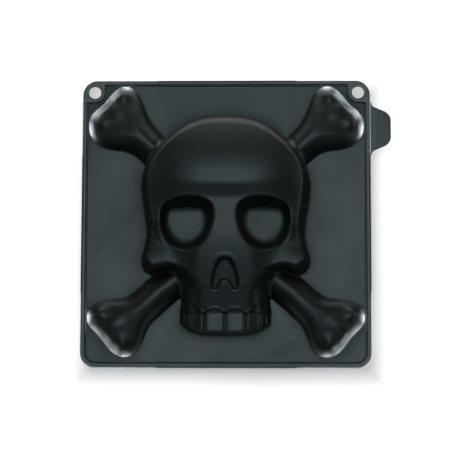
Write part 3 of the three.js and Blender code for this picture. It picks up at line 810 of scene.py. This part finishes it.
# Silicone: index of each finish, colours, and the noises, specks and grain with their scales and limits
SATIN_INDEX = 1.55
POLISHED_INDEX = 1.63
DEEP_BLACK = (0.0034, 0.0041, 0.0046, 1)
WORN_BLACK = (0.0052, 0.0060, 0.0066, 1)
DUST_COLOUR = (0.16, 0.16, 0.155, 1)
CLOUD_NOISE = (26, 4)
CLOUD_ROUGHNESS = (0.3, 0.7, 0.39, 0.45)
RUBBED_NOISE = (9, 5, 1.5)
RUBBED_ROUGHNESS = (0.56, 0.72, 0.0, 0.09)
LOW_ROUGHNESS = (0.0026, 0.005, -0.06, 0.0)
SPECK_SCALE = 110
SPECK_EDGE = (0.035, 0.05, 1.0, 0.0)
SPECK_CHOICE = (0.86, 0.9, 0.0, 1.0)
GRAIN_NOISE = (1400, 2)
GRAIN_STRENGTH = 0.12
GRAIN_DEPTH = 0.0001

# The floor is pale within the first distance from the part and dull from the second, in metres, a painted
# shade for light falling off. Behind the part, reflections see a painted white glow within the third
# distance and no longer from the fourth, and elsewhere they see the floor painted dark
PAINTED_FALLOFF_START = 0.20
PAINTED_FALLOFF_END = 0.55
PAINTED_GLOW_FULL = 0.15
PAINTED_GLOW_GONE = 0.20
PAINTED_GLOW_BEHIND = (0.08, 0.12)
PAINTED_FALLOFF_SHARE = 0.3
FLOOR_COLOUR = (0.92, 0.8, 0.78, 1)
PAINTED_SHADE_COLOUR = (0.04, 0.04, 0.04, 1)
FLOOR_ROUGHNESS = 0.9

# Painted soft shadow round the part, a little towards the lower right: the camera's white lift grows from
# edge to edge
SHADE_SHIFT = (0.0025, -0.0065)
SHADE_EDGES = (0.108, 0.131)
SHADE_WHITE = (0.3, 0.8)


# Materials
def linked_nodes(material):
    """The material's nodes and links, and its shader."""
    material.use_nodes = True
    tree = material.node_tree
    return tree.nodes, tree.links, tree.nodes["Principled BSDF"]


def silicone_material(name, ior):
    """Black satin silicone: cloudy gloss with rubbed patches, a fine grain and a few specks of dust."""
    material = bpy.data.materials.new(name)
    nodes, links, shader = linked_nodes(material)
    shader.inputs["IOR"].default_value = ior
    place = nodes.new("ShaderNodeTexCoord").outputs["Object"]

    def noise(scale, detail, distortion=0.0):
        node = nodes.new("ShaderNodeTexNoise")
        node.inputs["Scale"].default_value = scale
        node.inputs["Detail"].default_value = detail
        node.inputs["Distortion"].default_value = distortion
        links.new(place, node.inputs["Vector"])
        return node.outputs["Fac"]

    def ramp(value, start, end, low, high):
        node = nodes.new("ShaderNodeMapRange")
        for name, number in (("From Min", start), ("From Max", end), ("To Min", low), ("To Max", high)):
            node.inputs[name].default_value = number
        links.new(value, node.inputs["Value"])
        return node.outputs["Result"]

    def maths(operation, first, second):
        node = nodes.new("ShaderNodeMath")
        node.operation = operation
        links.new(first, node.inputs[0])
        links.new(second, node.inputs[1])
        return node.outputs[0]

    def colours(share, first, second):
        node = nodes.new("ShaderNodeMix")
        node.data_type = "RGBA"
        for name, value in (("Factor", share), ("A", first), ("B", second)):
            if isinstance(value, tuple):
                node.inputs[name].default_value = value
            else:
                links.new(value, node.inputs[name])
        return node.outputs["Result"]

    cloud = noise(*CLOUD_NOISE)
    rubbed = ramp(noise(*RUBBED_NOISE), *RUBBED_ROUGHNESS)
    speck = nodes.new("ShaderNodeTexVoronoi")
    speck.inputs["Scale"].default_value = SPECK_SCALE
    links.new(place, speck.inputs["Vector"])
    kind = nodes.new("ShaderNodeSeparateColor")
    links.new(speck.outputs["Color"], kind.inputs["Color"])
    near = ramp(speck.outputs["Distance"], *SPECK_EDGE)
    dust = maths("MULTIPLY", near, ramp(kind.outputs["Red"], *SPECK_CHOICE))
    parts = nodes.new("ShaderNodeSeparateXYZ")
    links.new(place, parts.inputs[0])
    rough = maths("ADD", ramp(cloud, *CLOUD_ROUGHNESS), rubbed)
    rough = maths("ADD", rough, ramp(parts.outputs["Z"], *LOW_ROUGHNESS))
    links.new(rough, shader.inputs["Roughness"])
    tint = colours(cloud, DEEP_BLACK, WORN_BLACK)
    links.new(colours(dust, tint, DUST_COLOUR), shader.inputs["Base Color"])
    grain = nodes.new("ShaderNodeBump")
    grain.inputs["Strength"].default_value = GRAIN_STRENGTH
    grain.inputs["Distance"].default_value = GRAIN_DEPTH
    links.new(noise(*GRAIN_NOISE), grain.inputs["Height"])
    links.new(grain.outputs["Normal"], shader.inputs["Normal"])
    return material


def floor_material():
    """Pale round the part, painted dimmer far off. The camera sees it lifted to white with a painted soft
    shadow near the part, over the real shadow; reflections see a painted white glow behind and a floor
    painted dark elsewhere.
    """
    material = bpy.data.materials.new("floor_with_painted_shade")
    nodes, links, shader = linked_nodes(material)
    shader.inputs["Roughness"].default_value = FLOOR_ROUGHNESS
    shader.inputs["Specular IOR Level"].default_value = 0.0
    shader.inputs["Emission Color"].default_value = (1, 1, 1, 1)

    def maths(operation, first, second):
        node = nodes.new("ShaderNodeMath")
        node.operation = operation
        for socket, value in zip(node.inputs, (first, second)):
            if isinstance(value, float):
                socket.default_value = value
            else:
                links.new(value, socket)
        return node.outputs[0]

    def fade(value, start, end, high, low):
        node = nodes.new("ShaderNodeMapRange")
        node.interpolation_type = "SMOOTHSTEP"
        for name, number in (("From Min", start), ("From Max", end), ("To Min", high), ("To Max", low)):
            node.inputs[name].default_value = number
        links.new(value, node.inputs["Value"])
        return node.outputs["Result"]

    place = nodes.new("ShaderNodeTexCoord")
    parts = nodes.new("ShaderNodeSeparateXYZ")
    links.new(place.outputs["Object"], parts.inputs[0])
    aside = maths("ABSOLUTE", parts.outputs["X"], 0.0)
    ahead = maths("ABSOLUTE", parts.outputs["Y"], 0.0)
    away = maths("MAXIMUM", aside, ahead)
    shade_x = maths("ABSOLUTE", maths("SUBTRACT", parts.outputs["X"], SHADE_SHIFT[0]), 0.0)
    shade_y = maths("ABSOLUTE", maths("SUBTRACT", parts.outputs["Y"], SHADE_SHIFT[1]), 0.0)
    shade_away = maths("MAXIMUM", shade_x, shade_y)
    path = nodes.new("ShaderNodeLightPath")
    mirrored = maths("MAXIMUM", path.outputs["Is Glossy Ray"], path.outputs["Is Transmission Ray"])
    # Painted reflection: behind the part the floor glows white, but only to reflections
    behind = fade(parts.outputs["Y"], *PAINTED_GLOW_BEHIND, 0.0, 1.0)
    painted_glow_zone = maths("MULTIPLY", behind, fade(away, PAINTED_GLOW_FULL, PAINTED_GLOW_GONE, 1.0, 0.0))
    painted_dark_for_reflections = maths("MULTIPLY", mirrored, maths("SUBTRACT", 1.0, painted_glow_zone))
    # Painted shade: the floor's tone dims far from the part, and reflections see it dark outside the painted
    # glow
    painted_floor_tone = nodes.new("ShaderNodeMix")
    painted_floor_tone.data_type = "RGBA"
    painted_floor_tone.inputs["A"].default_value = PAINTED_SHADE_COLOUR
    painted_floor_tone.inputs["B"].default_value = FLOOR_COLOUR
    painted_falloff = fade(away, PAINTED_FALLOFF_START, PAINTED_FALLOFF_END, 1.0, PAINTED_FALLOFF_SHARE)
    painted_lit_share = maths("MULTIPLY", painted_falloff, maths("SUBTRACT", 1.0, painted_dark_for_reflections))
    links.new(painted_lit_share, painted_floor_tone.inputs["Factor"])
    links.new(painted_floor_tone.outputs["Result"], shader.inputs["Base Color"])
    # Painted shadow: the camera's white lift is low near the part and grows outwards
    camera_white_with_painted_shade = maths("MULTIPLY", path.outputs["Is Camera Ray"], fade(shade_away, *SHADE_EDGES, *SHADE_WHITE))
    links.new(maths("ADD", camera_white_with_painted_shade, maths("MULTIPLY", mirrored, painted_glow_zone)), shader.inputs["Emission Strength"])
    return material


# Pieces
satin = silicone_material("satin_silicone", SATIN_INDEX)
polished = silicone_material("polished_silicone", POLISHED_INDEX)
moulded_skin = make_skin()
rim_ring = make_rim()
grip_tab = make_tab()
for piece, finish in ((moulded_skin, satin), (rim_ring, polished), (grip_tab, satin)):
    piece.data.materials.append(finish)
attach(moulded_skin, "mould")
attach(rim_ring, "mould")
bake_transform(grip_tab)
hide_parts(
    "flange_top", "flange_right", "flange_bottom", "flange_left", "cranium_shell", "face_shell",
    "jaw_shell", "eye_cup_left", "eye_cup_right", "nose_cup", "upper_bone_left", "upper_bone_right",
    "lower_bone_left", "lower_bone_right",
)
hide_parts("rim_bead", "hanging_eyelet_left", "hanging_eyelet_right")
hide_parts("pull_tab")

# Floor
FLOOR_HALF = 4.0
FLOOR_LEVEL = -0.0003
floor_mesh = bpy.data.meshes.new("floor")
floor_signs = [(-1, -1), (1, -1), (1, 1), (-1, 1)]
floor_corners = [(x * FLOOR_HALF, y * FLOOR_HALF, 0) for x, y in floor_signs]
floor_mesh.from_pydata(floor_corners, [], [(0, 1, 2, 3)])
floor = new_object("floor", floor_mesh)
floor.location = (MIDDLE_X, MIDDLE_Y, FLOOR_LEVEL)
floor_mesh.materials.append(floor_material())


# Studio panels, in metres: name, place aside from the part's middle, width and height, radiance and colour
COOL = (0.87, 1, 1.02)
STUDIO_PANELS = [
    ("overhead", (0, 0.19, 1.7), (0.75, 0.75), 2.8, (0.77, 1.0, 1.05)),
    ("beside_camera_left", (-0.33, -0.12, 1.6), (0.18, 0.24), 2.4, (0.82, 1.0, 1.0)),
    ("beside_camera_right", (0.33, -0.12, 1.6), (0.18, 0.24), 2.4, (0.82, 1.0, 1.0)),
    ("back_panel", (0, 1.5, 0.75), (1.2, 1.1), 0.45, COOL),
    ("low_panel", (0, 0.85, 0.13), (1.0, 0.22), 2.8, COOL),
    ("front_panel", (0, -1.15, 1.1), (1.4, 1.2), 0.32, (0.68, 1, 1.1)),
    ("side_panel_left", (-1.1, 0.2, 0.38), (1.0, 0.55), 0.5, COOL),
    ("side_panel_right", (1.1, 0.2, 0.38), (1.0, 0.55), 1.0, COOL),
]
KEY_PLACE = (-0.88, 1.05, 0.62)
KEY_SIZE = (1.0, 1.0)
KEY_RADIANCE = 3.2


def area_light(name, place, aim, size, radiance, colour):
    """A panel of the given size that looks as bright as given."""
    lamp = bpy.data.lights.new(name, "AREA")
    lamp.shape = "RECTANGLE"
    lamp.size, lamp.size_y = size
    lamp.energy = radiance * size[0] * size[1] * math.pi
    lamp.color = colour
    holder = bpy.data.objects.new(name, lamp)
    bpy.context.collection.objects.link(holder)
    holder.location = place
    holder.rotation_euler = (Vector(aim) - Vector(place)).to_track_quat("-Z", "Y").to_euler()
    return holder


middle = (MIDDLE_X, MIDDLE_Y, 0)
for name, (aside, ahead, high), size, radiance, colour in STUDIO_PANELS:
    area_light(name, (MIDDLE_X + aside, ahead, high), middle, size, radiance, colour)
key = area_light("key", KEY_PLACE, middle, KEY_SIZE, KEY_RADIANCE, (1, 1, 1))
key.visible_glossy = False

# Low panels at the sheet's edges, which the ends of the bones reflect
EDGE_GAP = 0.0045
EDGE_CLEAR = 0.0005
EDGE_AWAY = HALF_SIDE * MM + EDGE_GAP
EDGE_COLOUR = (0.9, 1.0, 1.03)
FRONT_PANEL = (0.11, 0.006)
FRONT_RADIANCE = 2.0
CORNER_PANEL = (0.055, 0.006)
CORNER_RADIANCE = 3.5
CORNER_MIDDLE = 0.083
CORNER_DIP = -0.2
CORNER_BEAM = math.radians(40)
DIAGONAL_NEARER = 0.002
DIAGONAL_AWAY = EDGE_AWAY - DIAGONAL_NEARER

# The floor takes no light from these panels, so that they leave no patches on it
unlit = bpy.data.collections.new("unlit_by_edge_panels")
unlit.objects.link(floor)
unlit.collection_objects[0].light_linking.link_state = "EXCLUDE"


def edge_light(name, x, y, look, size, radiance):
    """A panel on the floor that looks the given way, lights only the part and isn't seen itself."""
    place = Vector((MIDDLE_X + x, MIDDLE_Y + y, size[1] / 2 + EDGE_CLEAR))
    panel = area_light(name, place, place + Vector(look), size, radiance, EDGE_COLOUR)
    panel.visible_camera = False
    panel.light_linking.receiver_collection = unlit
    return panel


for across, along in ((-1, -1), (1, -1), (1, 1), (-1, 1)):
    for name, x, y, look in (
        ("side", EDGE_AWAY, CORNER_MIDDLE, (-across, 0, CORNER_DIP)),
        ("end", CORNER_MIDDLE, EDGE_AWAY, (0, -along, CORNER_DIP)),
        ("diagonal", DIAGONAL_AWAY, DIAGONAL_AWAY, (-across, -along, CORNER_DIP)),
    ):
        panel = edge_light(
            f"corner_{name}_{across}_{along}", across * x, along * y, look, CORNER_PANEL, CORNER_RADIANCE,
        )
        panel.data.spread = CORNER_BEAM
edge_light("front_edge", 0, -EDGE_AWAY, (0, 1, 0), FRONT_PANEL, FRONT_RADIANCE)

# World and camera
WORLD_COLOUR = (0.9, 0.95, 1.0, 1)
WORLD_STRENGTH = 0.03
CAMERA_TILT = math.radians(7.5)
CAMERA_ASIDE = math.radians(1.4)
CAMERA_WAY = 1.45
CAMERA_LENS = 145.3
CAMERA_SENSOR = 36
AIM_DROP = 0.0022
world = bpy.data.worlds.new("studio")
world.use_nodes = True
sky = world.node_tree.nodes["Background"].inputs
sky["Color"].default_value = WORLD_COLOUR
sky["Strength"].default_value = WORLD_STRENGTH
bpy.context.scene.world = world
camera_data = bpy.data.cameras.new("camera")
camera_data.lens = CAMERA_LENS
camera_data.sensor_width = CAMERA_SENSOR
camera = bpy.data.objects.new("camera", camera_data)
bpy.context.collection.objects.link(camera)
aim = Vector((MIDDLE_X, MIDDLE_Y - AIM_DROP, 0))
back = Vector((math.tan(CAMERA_ASIDE), -math.tan(CAMERA_TILT), 1)).normalized()
camera_up = back.cross(Vector((1, 0, 0))).normalized()
camera_right = camera_up.cross(back)
camera.location = aim + back * CAMERA_WAY
camera.rotation_euler = Matrix((camera_right, camera_up, back)).transposed().to_euler()
bpy.context.scene.camera = camera
bpy.context.scene.view_settings.view_transform = "Standard"
